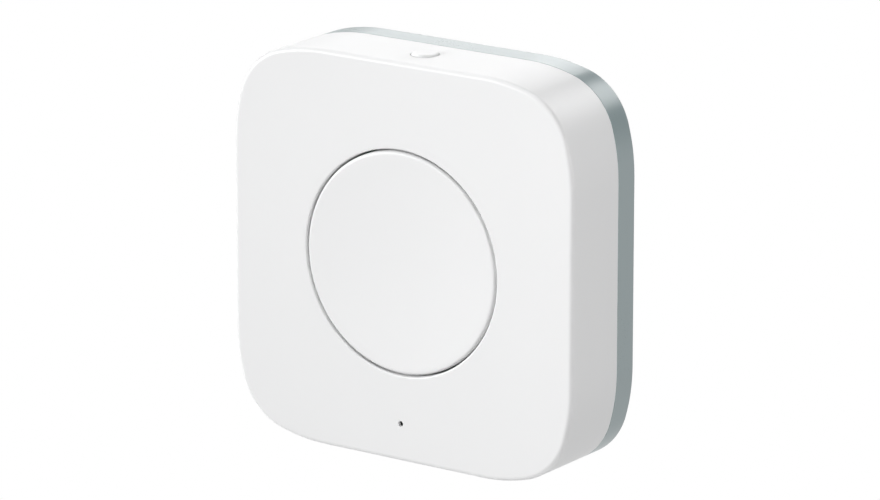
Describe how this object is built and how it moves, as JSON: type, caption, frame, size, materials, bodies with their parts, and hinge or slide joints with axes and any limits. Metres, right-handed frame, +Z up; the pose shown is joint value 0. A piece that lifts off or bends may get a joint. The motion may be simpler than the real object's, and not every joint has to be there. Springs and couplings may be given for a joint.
{
  "type": "smart button",
  "caption": "Rounded-square wireless smart button with a large dished push button, a small reset button on top, an indicator pinhole and a coin-slot battery door in its grey-green back.",
  "frame": {"origin": "middle of the bottom side, half-way between the front face and the adhesive pad's outer face", "axes": "+Z up, +Y from the front face to the wall, +X to the right seen from the front"},
  "size_m": [0.045, 0.0124, 0.0452],
  "materials": {
    "white_plastic": "smooth satin white",
    "rear_plastic": "fine matte grey-green",
    "foam_tape": "soft foam with a tacky face",
    "clear_plastic": "clear, polished",
    "board": "green solder mask, semi-gloss",
    "steel": "nickel-plated satin",
    "dark_plastic": "matte black",
    "ivory_plastic": "matte",
    "spring_bronze": "plated, satin",
    "led_resin": "cast resin",
    "ceramic": "fired ceramic with tinned ends",
    "tantalum_case": "moulded epoxy"
  },
  "bodies": {
    "casing": {"front_case": "white_plastic", "light_pipe": "clear_plastic", "rear_case": "rear_plastic", "adhesive_pad": "foam_tape", "circuit_board": "board", "board_screws": "steel", "main_switch_base": "dark_plastic", "main_switch_cover": "steel", "main_switch_dome": "spring_bronze", "main_switch_terminals": "steel", "reset_switch_base": "dark_plastic", "reset_switch_cover": "steel", "reset_switch_dome": "spring_bronze", "reset_switch_terminals": "steel", "radio_chip": "dark_plastic", "crystal": "steel", "antenna_trace": "spring_bronze", "status_led": "led_resin", "capacitors": "ceramic", "resistors": "dark_plastic", "bulk_capacitor": "tantalum_case", "negative_contact": "steel", "positive_contact": "steel", "cell_can": "steel", "cell_seal": "dark_plastic", "cell_cap": "steel"},
    "main_button": {"button_cap": "white_plastic"},
    "main_plunger": {"main_switch_plunger": "dark_plastic"},
    "reset_key": {"reset_button": "white_plastic"},
    "reset_plunger": {"reset_switch_plunger": "ivory_plastic"},
    "door": {"battery_door": "rear_plastic"}
  },
  "joints": [
    {"name": "button_press", "type": "slide", "parent": "casing", "child": "main_button", "axis": [0, 1, 0], "range_m": [0, 0.0003], "stiffness_N_per_m": 4000, "deforming": ["main_switch_dome"]},
    {"name": "main_plunger_press", "type": "slide", "parent": "casing", "child": "main_plunger", "axis": [0, 1, 0], "range_m": [0, 0.0003]},
    {"name": "reset_press", "type": "slide", "parent": "casing", "child": "reset_key", "axis": [0, 0, -1], "range_m": [0, 0.00025], "stiffness_N_per_m": 4000, "deforming": ["reset_switch_dome"]},
    {"name": "reset_plunger_press", "type": "slide", "parent": "casing", "child": "reset_plunger", "axis": [0, 0, -1], "range_m": [0, 0.00025]},
    {"name": "door_turn", "type": "hinge", "parent": "casing", "child": "door", "pos_m": [0, 0.005, 0.0225], "axis": [0, 1, 0], "range_deg": [0, 40]}
  ],
  "couplings": [
    {"joint": "main_plunger_press", "follows": "button_press", "ratio": 1},
    {"joint": "reset_plunger_press", "follows": "reset_press", "ratio": 1}
  ]
}
